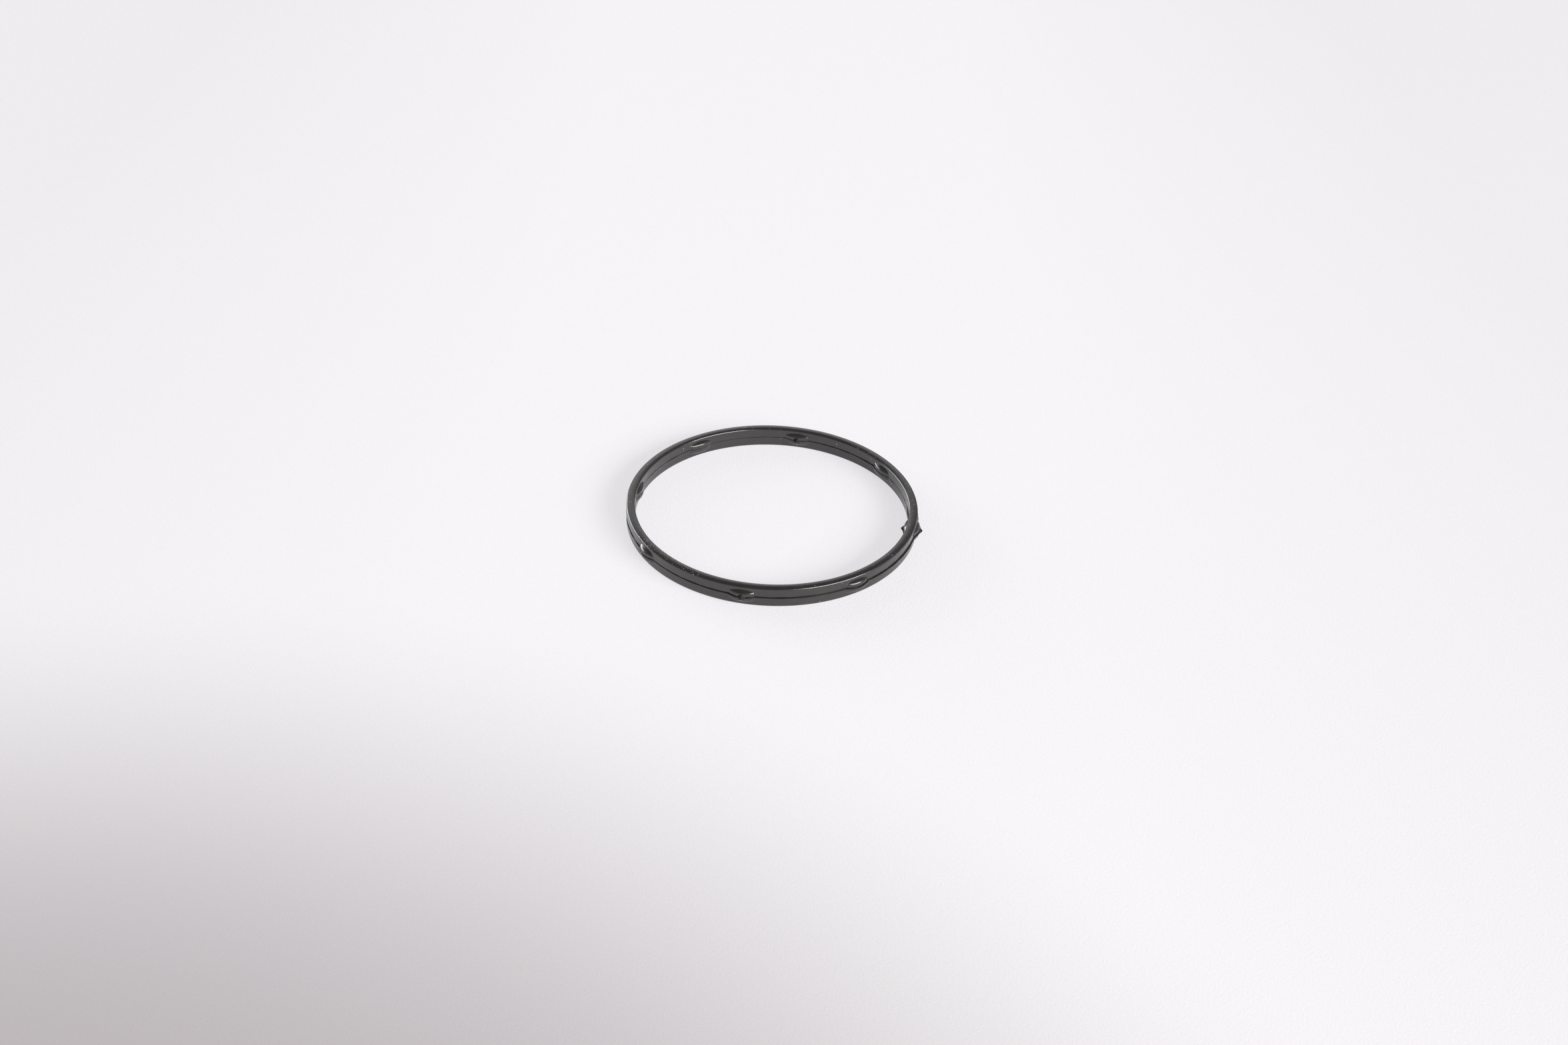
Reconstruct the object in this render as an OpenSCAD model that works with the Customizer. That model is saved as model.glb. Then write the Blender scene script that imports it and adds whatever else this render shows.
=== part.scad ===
// Press-in-place ring seal of black rubber, moulded in one piece.
// The section is taller than it is wide. Nubs in pairs grip the walls of the groove,
// and every other pair carries the pips where the rubber entered the mould. One place
// has only its inner nub, and no pips.
// The origin is at the centre of the rest face, with +Z up towards the sealing face.

/* [Ring] */
// Diameter over the outer wall, without the nubs
outer_diameter = 60; // [40:0.5:90]
// Thickness of the wall between its inner and its outer side
wall = 1.8; // [1.2:0.1:4]
// Height from the rest face to the sealing face
height = 4.3; // [3.4:0.1:8]
// Rounding along the four long edges
edge_radius = 0.3; // [0.1:0.05:0.5]

/* [Nubs] */
// Number of places around the ring that have nubs
nub_places = 8; // [4:2:16]
// Place without its outer nub and pips, counted from 0 on +X
bare_place = 3; // [0:1:15]
// Width of a nub along the wall
nub_width = 5.2; // [3.6:0.1:8]
// How far a nub stands out from the wall
nub_rise = 0.7; // [0.3:0.05:1.2]
// Height of a nub's upright face
nub_face = 1.8; // [0.8:0.1:2.2]
// Slope of the flanks above and below that face, in degrees from level
nub_slope = 37; // [20:1:50]

/* [Gate pips] */
// Diameter of a pip at its foot
pip_diameter = 1.4; // [0.8:0.1:1.7]
// Radius of a pip's rounded tip
pip_tip = 0.35; // [0.1:0.05:0.4]
// Angle between a pip's flank and its axis
pip_flank = 42; // [30:1:60]

/* [Parting line] */
// How far the thin moulding flash stands out at mid height
flash_reach = 0.25; // [0.05:0.05:0.4]
// Thickness of that flash
flash_thickness = 0.1; // [0.05:0.05:0.3]

/* [Hidden] */
$fn = 96;
rubber_colour = [0.07, 0.07, 0.075];
// Overlap by which an added form is rooted in the wall
bite = 0.2;
outer_r = outer_diameter / 2;
inner_r = outer_r - wall;
middle_r = (outer_r + inner_r) / 2;
parting_z = height / 2;
nub_pitch = 360 / nub_places;

// Drop between a wall of radius r and the chord across a nub
function wall_bulge(r) = r - sqrt(pow(r, 2) - pow(nub_width / 2, 2));

// Radius of an arc with a given bulge over a nub's width
function arc_radius(bulge) = (pow(bulge, 2) + pow(nub_width / 2, 2)) / (2 * bulge);

// The wall bows towards an outer nub and away from an inner one
outer_nub_r = arc_radius(nub_rise + wall_bulge(outer_r));
inner_nub_r = arc_radius(nub_rise - wall_bulge(inner_r));

// Section of the ring: a rectangle with four rounded corners
module wall_section() {
    translate([inner_r + edge_radius, 0])
        square([wall - 2 * edge_radius, height]);
    translate([inner_r, edge_radius])
        square([wall, height - 2 * edge_radius]);
    for (x = [inner_r + edge_radius, outer_r - edge_radius])
        for (y = [edge_radius, height - edge_radius])
            translate([x, y])
                circle(r = edge_radius);
}

// Thin flash on both walls, where the halves of the mould met
module flash_section() {
    translate([inner_r - flash_reach, parting_z - flash_thickness / 2])
        square([wall + 2 * flash_reach, flash_thickness]);
}

// Upright barrel of radius r whose rim shows as one nub, with its own flash
module nub_barrel(r) {
    flank = nub_rise + bite;
    crown = nub_face / 2 + flank * tan(nub_slope);
    translate([0, 0, parting_z])
        rotate_extrude()
            polygon([
                [0, -crown],
                [r - flank, -crown],
                [r, -nub_face / 2],
                [r, -flash_thickness / 2],
                [r + flash_reach, -flash_thickness / 2],
                [r + flash_reach, flash_thickness / 2],
                [r, flash_thickness / 2],
                [r, nub_face / 2],
                [r - flank, crown],
                [0, crown]
            ]);
}

// Nubs on the outside: barrels cut off along the middle of the wall
module outer_nubs() {
    difference() {
        for (place = [0 : nub_places - 1])
            if (place != bare_place)
                rotate(place * nub_pitch)
                    translate([outer_r + nub_rise - outer_nub_r, 0, 0])
                        nub_barrel(outer_nub_r);
        cylinder(r = middle_r, h = height);
    }
}

// Nubs on the inside, opposite the outer ones
module inner_nubs() {
    intersection() {
        for (place = [0 : nub_places - 1])
            rotate(place * nub_pitch)
                translate([inner_r - nub_rise + inner_nub_r, 0, 0])
                    nub_barrel(inner_nub_r);
        cylinder(r = middle_r, h = height);
    }
}

// Small cone with a rounded tip, standing on its foot along +Z
module gate_pip() {
    shoulder_r = pip_tip * cos(pip_flank);
    shoulder_z = (pip_diameter / 2 - shoulder_r) / tan(pip_flank);
    cylinder(d1 = pip_diameter, r2 = shoulder_r, h = shoulder_z);
    translate([0, 0, shoulder_z - pip_tip * sin(pip_flank)])
        sphere(r = pip_tip);
    translate([0, 0, -bite])
        cylinder(d = pip_diameter, h = bite);
}

// Pips on both nubs of every other place
module gate_pips() {
    for (place = [1 : 2 : nub_places - 1])
        if (place != bare_place)
            rotate(place * nub_pitch)
                for (side = [[outer_r + nub_rise, 90], [inner_r - nub_rise, -90]])
                    translate([side[0], 0, parting_z])
                        rotate([0, side[1], 0])
                            gate_pip();
}

// The whole moulding
module seal_ring() {
    color(rubber_colour) {
        rotate_extrude()
            wall_section();
        rotate_extrude()
            flash_section();
        outer_nubs();
        inner_nubs();
        gate_pips();
    }
}

seal_ring();
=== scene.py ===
"""Looks of a black rubber sealing ring that lies on white paper in soft studio light.

The ring is one moulding: a tall narrow section with rounded edges, nubs on both walls, gate pips on
every other pair of nubs, and a thin torn flash along the parting line. One place has only its inner
nub. Its form is a grid of columns around the axis, each a closed section, made from the same sizes
as the CAD model.
"""

import math

import bpy
import numpy as np
from mathutils import Matrix, Vector, noise


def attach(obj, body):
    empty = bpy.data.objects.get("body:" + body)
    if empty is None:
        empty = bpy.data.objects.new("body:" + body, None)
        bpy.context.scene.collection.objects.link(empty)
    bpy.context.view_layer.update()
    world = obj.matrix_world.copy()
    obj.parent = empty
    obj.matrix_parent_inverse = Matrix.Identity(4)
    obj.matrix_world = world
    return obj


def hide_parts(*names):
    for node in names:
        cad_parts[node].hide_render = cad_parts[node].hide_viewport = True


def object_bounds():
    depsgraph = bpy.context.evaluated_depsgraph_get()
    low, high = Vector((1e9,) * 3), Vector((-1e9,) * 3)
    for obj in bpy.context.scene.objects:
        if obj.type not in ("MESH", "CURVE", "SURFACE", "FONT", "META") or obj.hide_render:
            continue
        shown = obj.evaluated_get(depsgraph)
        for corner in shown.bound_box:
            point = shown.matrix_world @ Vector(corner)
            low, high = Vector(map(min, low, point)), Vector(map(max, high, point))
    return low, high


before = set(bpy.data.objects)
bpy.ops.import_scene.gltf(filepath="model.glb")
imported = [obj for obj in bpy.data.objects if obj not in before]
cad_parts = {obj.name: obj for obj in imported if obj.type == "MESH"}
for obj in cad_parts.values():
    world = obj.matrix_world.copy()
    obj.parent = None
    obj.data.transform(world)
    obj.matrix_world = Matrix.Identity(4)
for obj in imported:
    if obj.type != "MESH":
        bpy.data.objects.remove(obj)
cad_low, cad_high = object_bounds()

# Scale from millimetres, in which the ring's sizes are written, to metres
MM = 0.001

# Sizes of the ring, as in the CAD model
HEIGHT = (cad_high.z - cad_low.z) / MM
OUTER_R = 30.0
WALL = 1.8
INNER_R = OUTER_R - WALL
NUB_PLACES = 8
BARE_PLACE = 3
NUB_WIDTH = 5.2
NUB_RISE = 0.7
NUB_FACE = 1.8
NUB_SLOPE = math.radians(37)
PIP_R = 0.7
PIP_TIP = 0.35
PIP_FLANK = math.radians(42)
PIP_RISE = 0.6
FLASH_REACH = 0.25
FLASH_THICKNESS = 0.1

# Rounding of the ring's long edges, a little softer than in CAD
EDGE_R = 0.36

# Softness of the corners where a nub meets its wall, and where a pip meets its nub
NUB_BLEND = 0.005
PIP_BLEND = 0.09

# Softness of the long edges between a nub's upright face and its flanks
NUB_EDGE_BLEND = 0.24

# Distances from a pip's tip at which its matt, dark rubber starts and ends to fade
TORN_START = 0.85
TORN_END = 1.0

# How much lower the top and bottom faces lie at their edges than in their middle
CROWN = 0.03

# How much of the flash is left around the outer and the inner wall, by degrees from +X
OUTER_FLASH = [
    (130, 0.1), (151, 0.1), (160, 0.5), (192, 0.3), (202, 0.5),
    (214, 0.8), (236, 0.75), (248, 0.85), (256, 0.75), (268, 1.0), (330, 0.9),
]
INNER_FLASH = [
    (60, 0.1), (150, 0.1), (165, 0.7), (325, 0.8),
    (332, 0.15), (355, 0.15), (8, 0.6), (40, 0.5),
]

# Small tears of the flash: seed, number of waves around the ring, and strength
FLASH_TEARS = [(20, 90, 0.35), (40, 300, 0.25)]

# Least share of the flash that is left anywhere
FLASH_LEAST = 0.08

# Steps between the grid's columns: over a pip, over a nub, and between the nubs
PIP_STEP = 0.07
NUB_STEP = 0.18
PLAIN_STEP = 0.6

# How far the closer columns reach to either side of the middle of a pip and of a nub
PIP_REACH = 1.0
NUB_REACH = NUB_WIDTH / 2 + 0.6

# Step between a wall's rows on a nub's upright face, and numbers of rows on its flank and past it
FACE_STEP = 0.075
FLANK_ROWS = 22
PAST_ROWS = 4

# Numbers of steps round a long edge and across the top or bottom face
EDGE_STEPS = 6
TOP_STEPS = 4

# Turn between two faces beyond which the edge between them is shaded sharp
SHARP_ANGLE = math.radians(50)

# Darkest and lightest colour of the rubber, and the colour of the dust
RUBBER_COLOURS = ((0.0178, 0.0156, 0.0159), (0.0238, 0.0211, 0.0215))
DUST_COLOUR = (0.42, 0.39, 0.33)

# Middle of the dustiest stretch of the top face, and how far that stretch reaches from it
DUST_PATCH = (-28.7, -5.0, HEIGHT)
DUST_REACH = 9.2

# Roughness of the dust and of the torn rubber
DUST_ROUGHNESS = 0.8
TORN_ROUGHNESS = 0.6

# Darkest and lightest colour of the paper
PAPER_COLOURS = ((0.85, 0.835, 0.86), (0.885, 0.87, 0.892))

# Share of the paper's brightness that no shadow takes away, and its level in full light
PAPER_GLOW = 0.58
PAPER_LEVEL = 1.25

# Distance to either side at which the paper's painted shade starts and ends to deepen, and how much
# it darkens the paper
PAINTED_SIDE_SHADE_START = 60.0
PAINTED_SIDE_SHADE_END = 200.0
PAINTED_SIDE_SHADE = 0.07

# Middle of the painted shadow in one corner of the paper, how far from it the painted shade starts
# and ends, and its colour
PAINTED_SHADOW_POINT = (-230.0, -150.0, 0.0)
PAINTED_SHADOW_START = 228.0
PAINTED_SHADOW_END = 108.0
PAINTED_SHADOW_COLOUR = (0.475, 0.444, 0.46)

# Height over the horizon up to which the room is a pale band, height from which it is dim,
# and both colours
BAND_TOP = math.radians(26)
BAND_COLOUR = (0.35, 0.34, 0.355, 1)
ROOM_START = math.radians(41)
ROOM_COLOUR = (0.155, 0.152, 0.16, 1)

# Camera of the photograph, its distance in metres, and its turn away from the ring's centre
PHOTO_WIDTH = 2352
SENSOR_WIDTH = 36.0
FOCAL_PIXELS = 2602.6
CAMERA_AZIMUTH = math.radians(235)
CAMERA_ELEVATION = math.radians(34.75)
CAMERA_DISTANCE = 0.3597
CAMERA_PAN = math.radians(-0.41)
CAMERA_TILT = math.radians(-0.12)
CAMERA_ROLL = math.radians(2.34)


def direction(azimuth, elevation):
    """Unit vector that points from the ring's centre to that side and height."""
    level = math.cos(elevation)
    return Vector((level * math.cos(azimuth), level * math.sin(azimuth), math.sin(elevation)))


def aimed(place, target=Vector((0, 0, 0))):
    """Matrix of a camera or lamp at that place, which looks at the target."""
    turn = (target - place).to_track_quat("-Z", "Y")
    return Matrix.Translation(place) @ turn.to_matrix().to_4x4()


def add_camera():
    """The photograph's camera."""
    data = bpy.data.cameras.new("camera")
    data.sensor_width = SENSOR_WIDTH
    data.lens = SENSOR_WIDTH * FOCAL_PIXELS / PHOTO_WIDTH
    data.clip_start = 0.01
    camera = bpy.data.objects.new("camera", data)
    bpy.context.collection.objects.link(camera)
    place = direction(CAMERA_AZIMUTH, CAMERA_ELEVATION) * CAMERA_DISTANCE
    pan = Matrix.Rotation(CAMERA_PAN, 4, "Y")
    tilt = Matrix.Rotation(CAMERA_TILT, 4, "X")
    roll = Matrix.Rotation(CAMERA_ROLL, 4, "Z")
    camera.matrix_world = aimed(place) @ pan @ tilt @ roll
    bpy.context.scene.camera = camera


def smooth_max(a, b, blend):
    """The larger of two values, with the corner between them rounded."""
    overlap = np.clip(1 - np.abs(a - b) / blend, 0, None)
    return np.maximum(a, b) + overlap**2 * blend / 4


def wobble(angles, seed, count, strength):
    """Smooth noise around the ring, with about that many waves."""
    reach = count / (2 * math.pi)
    values = []
    for angle in angles:
        values.append(noise.noise(Vector((reach * math.cos(angle), reach * math.sin(angle), seed))))
    return np.array(values) * strength


def steps(*stretches):
    """Values from the first one given on, through stretches of (end, step)."""
    values = [stretches[0]]
    for end, step in stretches[1:]:
        count = max(1, round(abs(end - values[-1]) / step))
        values.extend(np.linspace(values[-1], end, count + 1)[1:])
    return np.array(values)


def has_pips(place):
    """Whether the nubs at a place around the ring carry pips."""
    return (place % 2 == 1) & (place != BARE_PLACE)


def column_angles():
    """Angles of the grid's columns, closer together over the nubs and closest over the pips."""
    pitch = 2 * math.pi / NUB_PLACES
    half = OUTER_R * pitch / 2
    plain = steps(0, (NUB_REACH, NUB_STEP), (half, PLAIN_STEP))
    with_pip = steps(0, (PIP_REACH, PIP_STEP), (NUB_REACH, NUB_STEP), (half, PLAIN_STEP))
    angles = []
    for place in range(NUB_PLACES):
        ahead = with_pip if has_pips(place) else plain
        around = np.concatenate([-ahead[:0:-1], ahead[:-1]])
        angles.extend(place * pitch + around / OUTER_R)
    return np.array(angles)


def barrel(outside):
    """Radius of a nub's barrel, and its distance from the ring's axis."""
    wall_r = OUTER_R if outside else INNER_R
    side = 1 if outside else -1
    bulge = wall_r - math.sqrt(wall_r**2 - (NUB_WIDTH / 2) ** 2)
    bulge = NUB_RISE + side * bulge
    barrel_r = (bulge**2 + (NUB_WIDTH / 2) ** 2) / (2 * bulge)
    return barrel_r, wall_r + side * (NUB_RISE - barrel_r)


def flank_end(turn, outside):
    """Height over the parting line at which a nub's flank meets the wall."""
    wall_r = OUTER_R if outside else INNER_R
    barrel_r, centre = barrel(outside)
    to_wall = np.hypot(wall_r - centre * np.cos(turn), centre * np.sin(turn))
    past_face = np.clip(barrel_r - to_wall, 0, None) * math.tan(NUB_SLOPE)
    # The face's edge is rounded by smooth_max, which is undone here
    softened = 2 * np.sqrt(NUB_EDGE_BLEND * past_face) - NUB_EDGE_BLEND
    past_face = np.where(past_face < NUB_EDGE_BLEND, softened, past_face)
    return NUB_FACE / 2 + np.maximum(past_face, 0)


def row_heights(angles, outside):
    """Heights of a wall's rows over the parting line; one runs where the flanks meet the wall."""
    flank_start = NUB_FACE / 2 - NUB_EDGE_BLEND
    meeting = flank_end(nearest_place(angles)[1], outside)
    straight = HEIGHT / 2 - EDGE_R
    on_face = steps(FLASH_THICKNESS / 2, (flank_start, FACE_STEP))
    rows = [np.full(len(angles), height) for height in on_face]
    for share in np.linspace(0, 1, FLANK_ROWS + 1)[1:]:
        rows.append(flank_start + share * (meeting - flank_start))
    for share in np.linspace(0, 1, PAST_ROWS + 1)[1:]:
        rows.append(meeting + share * (straight - meeting))
    return np.array(rows)


def nub_surface(turn, height, outside):
    """Distance from the axis of a nub's barrel, at that turn from its middle and that height."""
    side = 1 if outside else -1
    barrel_r, centre = barrel(outside)
    past_face = smooth_max(np.abs(height) - NUB_FACE / 2, 0, NUB_EDGE_BLEND)
    radius = barrel_r - past_face / math.tan(NUB_SLOPE)
    squared = radius**2 - (centre * np.sin(turn)) ** 2
    reach = np.where(squared > 0, np.sqrt(np.abs(squared)), -1.0)
    return centre * np.cos(turn) + side * reach


def pip_rise(turn, height, base_r):
    """How far a pip stands out from its nub's crown, negative away from it."""
    off_axis = np.hypot(base_r * turn, height)
    shoulder = PIP_TIP * math.cos(PIP_FLANK)
    cone_top = (PIP_R - shoulder) / math.tan(PIP_FLANK)
    ball_centre = cone_top - PIP_TIP * math.sin(PIP_FLANK)
    cone = (PIP_R - off_axis) / math.tan(PIP_FLANK)
    ball = ball_centre + np.sqrt(np.clip(PIP_TIP**2 - off_axis**2, 0, None))
    return np.where(off_axis < shoulder, ball, cone)


def nearest_place(angles):
    """The place around the ring nearest to each angle, and the turn from its middle."""
    pitch = 2 * math.pi / NUB_PLACES
    place = np.round(angles / pitch)
    return place % NUB_PLACES, angles - place * pitch


def wall_surface(angles, height, outside):
    """Distance from the axis of a wall with its nubs and pips, at a height over the parting line."""
    place, turn = nearest_place(angles)
    side = 1 if outside else -1
    wall_r = OUTER_R if outside else INNER_R
    wall = np.full(len(angles), wall_r)
    nub = nub_surface(turn, height, outside)
    surface = smooth_max(side * wall, side * nub, NUB_BLEND)
    crown_r = wall_r + side * NUB_RISE
    pip = side * crown_r + pip_rise(turn, height, crown_r)
    with_pip = smooth_max(surface, pip, PIP_BLEND)
    surface = np.where(has_pips(place), with_pip, surface)
    if outside:
        surface = np.where(place == BARE_PLACE, wall, surface)
    return side * surface


def flash_reach(angles, outside):
    """How far the flash stands out around the ring: torn, nearly gone in places and at the pips."""
    left = np.array(OUTER_FLASH if outside else INNER_FLASH)
    share = np.interp(np.degrees(angles), left[:, 0], left[:, 1], period=360)
    seed = 3.1 if outside else 8.7
    for more, waves, strength in FLASH_TEARS:
        share = share + wobble(angles, seed + more, waves, strength)
    share = np.clip(share, FLASH_LEAST, 1.0)
    place, turn = nearest_place(angles)
    # The flash is nearly gone on a pip, and whole again 1.5 pip radii away
    pip_radii_away = np.abs(turn) * OUTER_R / PIP_R
    off_pip = np.clip(pip_radii_away - 0.5, 0.1, 1)
    return FLASH_REACH * np.where(has_pips(place), share * off_pip, share)


def ring_section(angles):
    """The closed section at each angle: a list of rows.

    Each row is (distances from the axis, heights, whether it is on the rim of the flash).
    """
    middle = HEIGHT / 2
    reach = {side: flash_reach(angles, side) for side in (True, False)}
    rows = []

    def wall_rows(outside, upwards):
        side = 1 if outside else -1
        above = row_heights(angles, outside)
        order = np.concatenate([-above[::-1], above])
        if not upwards:
            order = order[::-1]
        for index, height in enumerate(order):
            surface = wall_surface(angles, height, outside)
            rows.append((surface, middle + height, False))
            if index == len(above) - 1:
                for tip in (height, -height):
                    fin = surface + side * reach[outside]
                    rows.append((fin, middle + tip, True))

    def edge_rows(outside, above, start, end):
        side = 1 if outside else -1
        wall_r = OUTER_R if outside else INNER_R
        up = 1 if above else -1
        for turn in np.radians(np.linspace(start, end, EDGE_STEPS + 1))[1:-1]:
            distance = wall_r - side * EDGE_R * (1 - math.cos(turn))
            height = middle + up * (middle - CROWN - EDGE_R + EDGE_R * math.sin(turn))
            rows.append((np.full(len(angles), distance), np.full(len(angles), height), False))

    def face_rows(above, outwards):
        up = 1 if above else -1
        across = np.linspace(-1, 1, TOP_STEPS + 1)
        if not outwards:
            across = across[::-1]
        for share in across:
            distance = (INNER_R + OUTER_R) / 2 + share * (WALL / 2 - EDGE_R)
            height = middle + up * (middle - CROWN * share**2)
            rows.append((np.full(len(angles), distance), np.full(len(angles), height), False))

    wall_rows(True, upwards=True)
    edge_rows(True, True, 0, 90)
    face_rows(True, outwards=False)
    edge_rows(False, True, 90, 0)
    wall_rows(False, upwards=False)
    edge_rows(False, False, 0, 90)
    face_rows(False, outwards=True)
    edge_rows(True, False, 90, 0)
    return rows


def torn_share(points, on_flash):
    """How torn and matt the rubber is at each point: 1 on the flash's rim and the pips, else 0."""
    share = on_flash.astype(float)
    for place in range(NUB_PLACES):
        if not has_pips(place):
            continue
        azimuth = 2 * math.pi * place / NUB_PLACES
        for tip_r in (OUTER_R + NUB_RISE + PIP_RISE, INNER_R - NUB_RISE - PIP_RISE):
            tip = np.array([tip_r * math.cos(azimuth), tip_r * math.sin(azimuth), HEIGHT / 2])
            away = np.linalg.norm(points - tip, axis=1)
            share = np.maximum(share, np.clip((TORN_END - away) / (TORN_END - TORN_START), 0, 1))
    return share


def make_ring():
    """The whole moulding as one closed mesh."""
    angles = column_angles()
    rows = ring_section(angles)
    columns = len(angles)
    points = []
    on_flash = []
    for distances, heights, flash in rows:
        x = distances * np.cos(angles)
        y = distances * np.sin(angles)
        points.append(np.stack([x, y, heights], axis=1))
        on_flash.append(np.full(columns, flash))
    points = np.concatenate(points)
    row = np.arange(len(rows))[:, None]
    column = np.arange(columns)[None, :]
    next_row = (row + 1) % len(rows)
    next_column = (column + 1) % columns
    corners = [
        row * columns + column,
        row * columns + next_column,
        next_row * columns + next_column,
        next_row * columns + column,
    ]
    faces = np.stack(corners, axis=-1).reshape(-1, 4)
    mesh = bpy.data.meshes.new("ring_surface")
    mesh.from_pydata((points * MM).tolist(), [], faces.tolist())
    mesh.validate()
    torn = mesh.attributes.new("torn", "FLOAT", "POINT")
    torn.data.foreach_set("value", torn_share(points, np.concatenate(on_flash)))
    mesh.shade_smooth()
    mesh.set_sharp_from_angle(angle=SHARP_ANGLE)
    ring = bpy.data.objects.new("ring_surface", mesh)
    bpy.context.collection.objects.link(ring)
    return ring


class Nodes:
    """Short ways to add and join the nodes of one material."""

    def __init__(self, material):
        material.use_nodes = True
        self.tree = material.node_tree
        self.shader = self.tree.nodes["Principled BSDF"]
        self.output = self.tree.nodes["Material Output"]

    def add(self, kind, **settings):
        node = self.tree.nodes.new(kind)
        for name, value in settings.items():
            setattr(node, name, value)
        return node

    def join(self, source, target):
        self.tree.links.new(source, target)

    def millimetres(self):
        """The object's own coordinates in millimetres."""
        place = self.add("ShaderNodeTexCoord")
        scaled = self.add("ShaderNodeVectorMath", operation="SCALE")
        scaled.inputs["Scale"].default_value = 1 / MM
        self.join(place.outputs["Object"], scaled.inputs[0])
        return scaled.outputs["Vector"]

    def noise(self, vector, per_mm, detail):
        """Noise with that many waves to a millimetre."""
        node = self.add("ShaderNodeTexNoise")
        node.inputs["Scale"].default_value = per_mm
        node.inputs["Detail"].default_value = detail
        self.join(vector, node.inputs["Vector"])
        return node.outputs["Fac"]

    def mapped(self, value, low, high, to_low=0.0, to_high=1.0):
        """The value, stretched from one range to another and kept inside it."""
        node = self.add("ShaderNodeMapRange")
        self.join(value, node.inputs["Value"])
        node.inputs["From Min"].default_value = low
        node.inputs["From Max"].default_value = high
        node.inputs["To Min"].default_value = to_low
        node.inputs["To Max"].default_value = to_high
        return node.outputs["Result"]

    def smooth(self, value):
        """The same value from 0 to 1, with a gentle start and end."""
        node = self.add("ShaderNodeMapRange", interpolation_type="SMOOTHSTEP")
        self.join(value, node.inputs["Value"])
        return node.outputs["Result"]

    def measured(self, operation, vector, other):
        """One number worked out from the vector and another, such as their distance."""
        node = self.add("ShaderNodeVectorMath", operation=operation)
        self.join(vector, node.inputs[0])
        node.inputs[1].default_value = other
        return node.outputs["Value"]

    def math(self, operation, first, second):
        """Two values joined by arithmetic; the second may be a number."""
        node = self.add("ShaderNodeMath", operation=operation)
        self.join(first, node.inputs[0])
        if isinstance(second, (int, float)):
            node.inputs[1].default_value = second
        else:
            self.join(second, node.inputs[1])
        return node.outputs["Value"]

    def mixed(self, share, first, second):
        """A colour between the two; each is a colour or a socket."""
        node = self.add("ShaderNodeMix", data_type="RGBA")
        self.join(share, node.inputs["Factor"])
        for socket, colour in (("A", first), ("B", second)):
            target = [s for s in node.inputs if s.name == socket and s.type == "RGBA"][0]
            if isinstance(colour, tuple):
                target.default_value = (*colour, 1)
            else:
                self.join(colour, target)
        return [s for s in node.outputs if s.type == "RGBA"][0]

    def specks(self, vector, cell, radius, share):
        """Small round specks of up to that radius, one in that share of the cells."""
        node = self.add("ShaderNodeTexVoronoi", feature="F1")
        node.inputs["Scale"].default_value = 1 / cell
        self.join(vector, node.inputs["Vector"])
        parts = self.add("ShaderNodeSeparateColor")
        self.join(node.outputs["Color"], parts.inputs["Color"])
        chosen = self.math("LESS_THAN", parts.outputs["Red"], share)
        size = self.mapped(parts.outputs["Green"], 0, 1, 0.4 * radius / cell, radius / cell)
        near = self.math("LESS_THAN", self.math("SUBTRACT", node.outputs["Distance"], size), 0.0)
        return self.math("MULTIPLY", chosen, near)

    def bump(self, height, distance, normal=None):
        """A bump of that depth in metres."""
        node = self.add("ShaderNodeBump")
        node.inputs["Distance"].default_value = distance
        self.join(height, node.inputs["Height"])
        if normal is not None:
            self.join(normal, node.inputs["Normal"])
        return node.outputs["Normal"]


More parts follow.
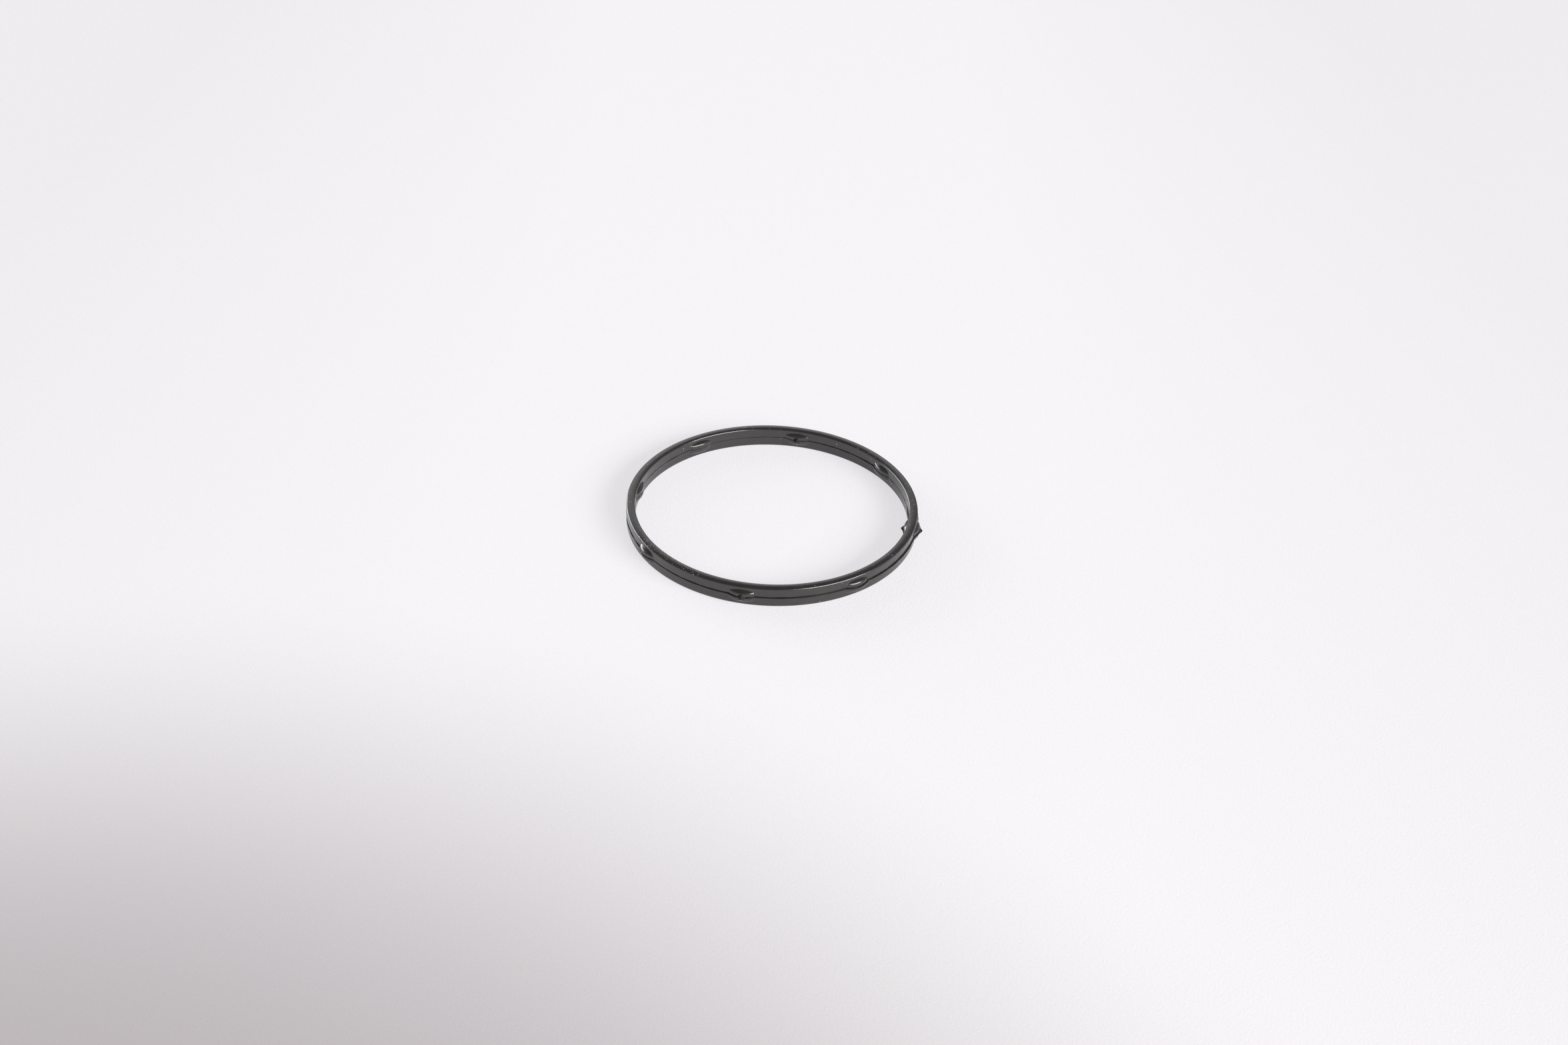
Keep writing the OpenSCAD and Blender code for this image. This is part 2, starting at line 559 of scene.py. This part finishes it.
def rubber_material():
    """Satin black rubber with a faint grain, a thin film of dust and pale specks."""
    material = bpy.data.materials.new("rubber")
    nodes = Nodes(material)
    place = nodes.millimetres()
    shader = nodes.shader.inputs
    film = nodes.mapped(nodes.noise(place, per_mm=0.5, detail=3.0), low=0.35, high=0.75)
    rubber = nodes.mixed(film, *RUBBER_COLOURS)
    height = nodes.add("ShaderNodeSeparateXYZ")
    nodes.join(place, height.inputs["Vector"])
    on_top = nodes.math("GREATER_THAN", height.outputs["Z"], HEIGHT - EDGE_R)
    patchy = nodes.mapped(nodes.noise(place, per_mm=0.11, detail=1.0), low=0.42, high=0.6)
    top_dust = nodes.specks(place, cell=0.42, radius=0.09, share=0.35)
    top_dust = nodes.math("MULTIPLY", top_dust, nodes.math("MULTIPLY", on_top, patchy))
    away = nodes.measured("DISTANCE", place, DUST_PATCH)
    in_patch = nodes.math("LESS_THAN", away, DUST_REACH)
    patch_dust = nodes.specks(place, cell=0.3, radius=0.09, share=0.6)
    patch_dust = nodes.math("MULTIPLY", patch_dust, nodes.math("MULTIPLY", on_top, in_patch))
    top_dust = nodes.math("MAXIMUM", top_dust, patch_dust)
    fine_dust = nodes.specks(place, cell=0.9, radius=0.09, share=0.1)
    coarse_dust = nodes.specks(place, cell=2.1, radius=0.13, share=0.3)
    dust = nodes.math("MAXIMUM", top_dust, nodes.math("MAXIMUM", fine_dust, coarse_dust))
    nodes.join(nodes.mixed(dust, rubber, DUST_COLOUR), shader["Base Color"])
    smears = nodes.noise(place, per_mm=0.9, detail=4.0)
    smears = nodes.mapped(smears, low=0.3, high=0.75, to_low=0.17, to_high=0.24)
    torn = nodes.add("ShaderNodeAttribute", attribute_name="torn").outputs["Fac"]
    matt = nodes.math("MAXIMUM", nodes.math("MULTIPLY", torn, TORN_ROUGHNESS), smears)
    gloss = nodes.mapped(torn, low=0, high=1, to_low=0.5, to_high=0.1)
    nodes.join(gloss, shader["Specular IOR Level"])
    matt = nodes.math("MAXIMUM", nodes.math("MULTIPLY", dust, DUST_ROUGHNESS), matt)
    nodes.join(matt, shader["Roughness"])
    shader["IOR"].default_value = 1.7
    shader["Sheen Weight"].default_value = 0.28
    shader["Sheen Roughness"].default_value = 0.25
    waves = nodes.noise(place, per_mm=0.7, detail=1.0)
    waves = nodes.bump(waves, distance=0.005 * MM)
    grain = nodes.noise(place, per_mm=9.0, detail=3.0)
    grain = nodes.bump(grain, distance=0.001 * MM, normal=waves)
    nodes.join(grain, shader["Normal"])
    return material


def paper_material():
    """Matt white paper with a fine tooth, partly bright by itself to the eye, with weak shadows, a
    painted shadow in one corner and painted shade towards both sides.
    """
    material = bpy.data.materials.new("paper")
    nodes = Nodes(material)
    place = nodes.millimetres()
    shader = nodes.shader.inputs
    tooth = nodes.noise(place, per_mm=2.3, detail=4.0)
    colour = nodes.mixed(tooth, *PAPER_COLOURS)
    # Painted shadow: the paper's colour darkens towards one corner, standing in for shade that falls
    # there
    dim = nodes.mapped(nodes.measured("DISTANCE", place, PAINTED_SHADOW_POINT), PAINTED_SHADOW_START, PAINTED_SHADOW_END)
    colour = nodes.mixed(nodes.smooth(dim), colour, PAINTED_SHADOW_COLOUR)
    # Painted shade: the paper's colour darkens towards both sides, standing in for light that falls
    # off there
    sideways = direction(CAMERA_AZIMUTH + math.pi / 2, 0)
    to_side = nodes.math("ABSOLUTE", nodes.measured("DOT_PRODUCT", place, sideways), 0)
    fade = nodes.mapped(to_side, PAINTED_SIDE_SHADE_START, PAINTED_SIDE_SHADE_END, to_high=PAINTED_SIDE_SHADE)
    colour = nodes.mixed(fade, colour, (0, 0, 0))
    nodes.join(colour, shader["Base Color"])
    shader["Roughness"].default_value = 0.75
    nodes.join(nodes.bump(tooth, distance=0.11 * MM), shader["Normal"])
    white = nodes.add("ShaderNodeEmission")
    nodes.join(colour, white.inputs["Color"])
    white.inputs["Strength"].default_value = PAPER_LEVEL
    ray = nodes.add("ShaderNodeLightPath")
    seen = nodes.math("MAXIMUM", ray.outputs["Is Camera Ray"], ray.outputs["Is Glossy Ray"])
    both = nodes.add("ShaderNodeMixShader")
    nodes.join(nodes.math("MULTIPLY", seen, PAPER_GLOW), both.inputs["Fac"])
    nodes.join(nodes.shader.outputs["BSDF"], both.inputs[1])
    nodes.join(white.outputs["Emission"], both.inputs[2])
    nodes.join(both.outputs["Shader"], nodes.output.inputs["Surface"])
    return material


def add_floor():
    """The sheet of paper that the ring lies on."""
    half = 4.0
    mesh = bpy.data.meshes.new("paper")
    corners = [(-half, -half, 0), (half, -half, 0), (half, half, 0), (-half, half, 0)]
    mesh.from_pydata(corners, [], [(0, 1, 2, 3)])
    mesh.materials.append(paper_material())
    floor = bpy.data.objects.new("paper", mesh)
    bpy.context.collection.objects.link(floor)


def add_softbox(name, azimuth, elevation, distance, width, depth, radiance, colour=(1, 1, 1)):
    """A soft lamp that looks at the ring. Sizes are in metres; radiance 1 is a white wall's."""
    data = bpy.data.lights.new(name, "AREA")
    data.color = colour
    data.shape = "RECTANGLE"
    data.size = width
    data.size_y = depth
    data.energy = radiance * width * depth * math.pi
    lamp = bpy.data.objects.new(name, data)
    bpy.context.collection.objects.link(lamp)
    place = direction(math.radians(azimuth), math.radians(elevation)) * distance
    lamp.matrix_world = aimed(place)


def add_room():
    """A dim room with a pale band round the horizon."""
    world = bpy.data.worlds.new("room")
    world.use_nodes = True
    tree = world.node_tree
    place = tree.nodes.new("ShaderNodeTexCoord")
    parts = tree.nodes.new("ShaderNodeSeparateXYZ")
    ramp = tree.nodes.new("ShaderNodeValToRGB")
    tree.links.new(place.outputs["Generated"], parts.inputs["Vector"])
    tree.links.new(parts.outputs["Z"], ramp.inputs["Fac"])
    tree.links.new(ramp.outputs["Color"], tree.nodes["Background"].inputs["Color"])
    band = ramp.color_ramp.elements
    band[0].position = math.sin(BAND_TOP)
    band[0].color = BAND_COLOUR
    band[1].position = math.sin(ROOM_START)
    band[1].color = ROOM_COLOUR
    bpy.context.scene.world = world


add_camera()

ring = make_ring()
ring.data.materials.append(rubber_material())
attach(ring, "root")
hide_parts("seal_ring")

add_floor()
add_softbox(
    "key_lamp", azimuth=284, elevation=24, distance=3.0,
    width=2.5, depth=1.1, radiance=14.0, colour=(1, 0.985, 0.955),
)
add_softbox(
    "low_lamp", azimuth=112, elevation=9, distance=3.3,
    width=2.9, depth=0.9, radiance=9.0,
)
add_softbox(
    "back_panel", azimuth=80, elevation=25.5, distance=2.6,
    width=3.4, depth=1.1, radiance=0.9,
)
add_room()

scene = bpy.context.scene
scene.view_settings.view_transform = "Standard"
